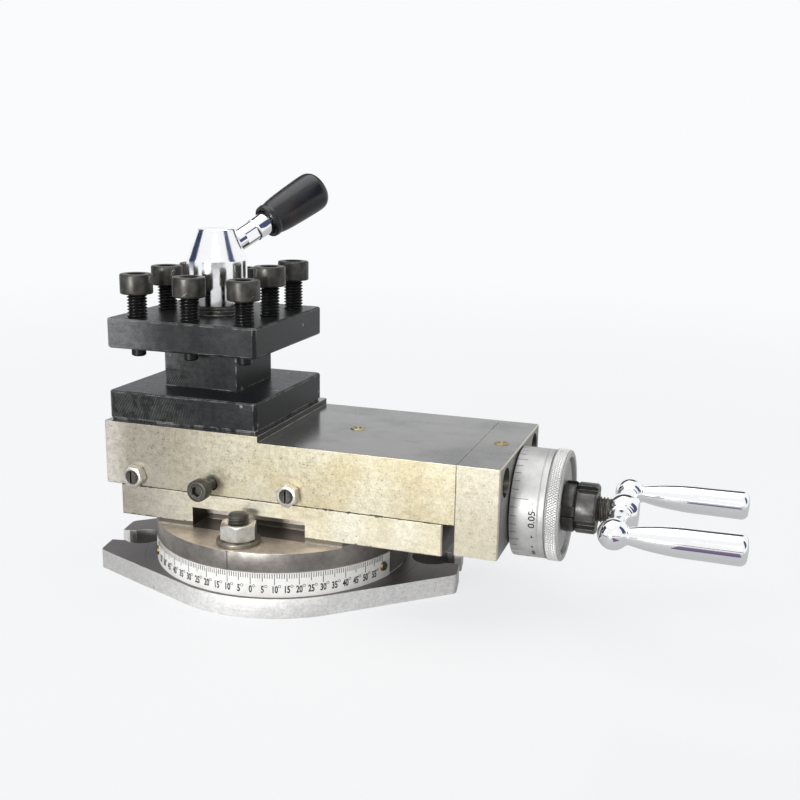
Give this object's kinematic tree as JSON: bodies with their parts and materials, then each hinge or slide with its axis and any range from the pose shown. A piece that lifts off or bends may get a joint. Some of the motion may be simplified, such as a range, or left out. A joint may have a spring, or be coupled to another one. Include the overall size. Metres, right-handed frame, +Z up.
{
  "type": "lathe tool post",
  "caption": "Four-way lathe tool post on a swivelling compound slide, with clamping lever, graduated dial and ball crank.",
  "frame": {"origin": "on the swivel axis, in the flat underside of the base plate", "axes": "+X along the base plate's two end slots, towards the crank; +Z up along the swivel axis; the slide is turned 10 degrees clockwise from +X"},
  "size_m": [0.2629, 0.1185, 0.1626],
  "materials": {
    "ground_casting": "ground cast iron with fine grinding marks",
    "base_casting": "dark grey cast iron with machined edges",
    "enamelled_strip": "white strip with black marks",
    "brass": "dull brass",
    "zinc_steel": "bright zinc plate",
    "black_steel": "black oxide",
    "turret_steel": "black oxide worn pale at the edges",
    "chrome": "mirror chrome",
    "black_knob": "glossy black",
    "satin_chrome": "satin chrome with engraved marks",
    "steel": "turned steel",
    "spring_steel": "spring steel"
  },
  "bodies": {
    "base": {"base_plate": "base_casting", "angle_scale": "enamelled_strip", "scale_screws": "brass"},
    "swivel": {"swivel_base": "ground_casting", "feed_nut": "brass", "swivel_bolts": "black_steel", "swivel_washers": "zinc_steel", "swivel_nuts": "zinc_steel"},
    "slide": {"top_slide": "ground_casting", "gib": "steel", "gib_screws": "black_steel", "gib_nuts": "zinc_steel", "end_bracket": "ground_casting", "bracket_bush": "brass", "bracket_screws": "black_steel", "slide_oiler": "brass", "bracket_oiler": "brass", "turret_stud": "black_steel"},
    "lock_screw": {"lock_screw": "black_steel"},
    "crank": {"leadscrew": "steel", "dial_sleeve": "satin_chrome", "dial_spring": "spring_steel", "thin_jam_nut": "black_steel", "full_jam_nut": "black_steel", "ball_crank": "chrome", "front_handle": "chrome", "rear_handle": "chrome"},
    "dial": {"dial": "satin_chrome"},
    "turret": {"turret": "turret_steel", "clamp_washer": "black_steel"},
    "lever": {"lever_hub": "chrome", "lever_rod": "chrome", "lever_knob": "black_knob"},
    "slide_oiler_ball": {"slide_oiler_ball": "steel"},
    "bracket_oiler_ball": {"bracket_oiler_ball": "steel"},
    "tool_screw_1": {"tool_screw_1": "black_steel"},
    "tool_screw_2": {"tool_screw_2": "black_steel"},
    "tool_screw_3": {"tool_screw_3": "black_steel"},
    "tool_screw_4": {"tool_screw_4": "black_steel"},
    "tool_screw_5": {"tool_screw_5": "black_steel"},
    "tool_screw_6": {"tool_screw_6": "black_steel"},
    "tool_screw_7": {"tool_screw_7": "black_steel"},
    "tool_screw_8": {"tool_screw_8": "black_steel"}
  },
  "joints": [
    {"name": "swivel_turn", "type": "hinge", "parent": "base", "child": "swivel", "pos_m": [0, 0, 0.02], "axis": [0, 0, 1], "range_deg": [-50, 70]},
    {"name": "slide_travel", "type": "slide", "parent": "swivel", "child": "slide", "axis": [0.9848, -0.1736, 0], "range_m": [-0.004, 0.05]},
    {"name": "crank_turn", "type": "hinge", "parent": "slide", "child": "crank", "pos_m": [0.09848, -0.01736, 0.0412], "axis": [0.9848, -0.1736, 0], "range_deg": [-720, 9000]},
    {"name": "dial_turn", "type": "hinge", "parent": "crank", "child": "dial", "pos_m": [0.10636, -0.01875, 0.0412], "axis": [0.9848, -0.1736, 0], "continuous": true},
    {"name": "lock_screw_travel", "type": "slide", "parent": "slide", "child": "lock_screw", "axis": [-0.1736, -0.9848, 0], "range_m": [0, 0.0015]},
    {"name": "turret_turn", "type": "hinge", "parent": "slide", "child": "turret", "pos_m": [-0.02915, 0.00514, 0.08], "axis": [0, 0, 1], "continuous": true},
    {"name": "lever_turn", "type": "hinge", "parent": "slide", "child": "lever", "pos_m": [-0.02915, 0.00514, 0.12], "axis": [0, 0, 1], "range_deg": [0, 120]},
    {"name": "slide_oiler_press", "type": "slide", "parent": "slide", "child": "slide_oiler_ball", "axis": [0, 0, 1], "range_m": [-0.0008, 0], "stiffness_N_per_m": 300},
    {"name": "bracket_oiler_press", "type": "slide", "parent": "slide", "child": "bracket_oiler_ball", "axis": [0, 0, 1], "range_m": [-0.0008, 0], "stiffness_N_per_m": 300},
    {"name": "tool_screw_1_travel", "type": "slide", "parent": "turret", "child": "tool_screw_1", "axis": [0, 0, 1], "range_m": [-0.009, 0.004]},
    {"name": "tool_screw_2_travel", "type": "slide", "parent": "turret", "child": "tool_screw_2", "axis": [0, 0, 1], "range_m": [-0.009, 0.004]},
    {"name": "tool_screw_3_travel", "type": "slide", "parent": "turret", "child": "tool_screw_3", "axis": [0, 0, 1], "range_m": [-0.009, 0.004]},
    {"name": "tool_screw_4_travel", "type": "slide", "parent": "turret", "child": "tool_screw_4", "axis": [0, 0, 1], "range_m": [-0.012, 0.001]},
    {"name": "tool_screw_5_travel", "type": "slide", "parent": "turret", "child": "tool_screw_5", "axis": [0, 0, 1], "range_m": [-0.012, 0.001]},
    {"name": "tool_screw_6_travel", "type": "slide", "parent": "turret", "child": "tool_screw_6", "axis": [0, 0, 1], "range_m": [-0.008, 0.005]},
    {"name": "tool_screw_7_travel", "type": "slide", "parent": "turret", "child": "tool_screw_7", "axis": [0, 0, 1], "range_m": [-0.009, 0.004]},
    {"name": "tool_screw_8_travel", "type": "slide", "parent": "turret", "child": "tool_screw_8", "axis": [0, 0, 1], "range_m": [-0.01, 0.003]}
  ],
  "couplings": [
    {"joint": "crank_turn", "follows": "slide_travel", "rad_per_m": 3141.6}
  ]
}
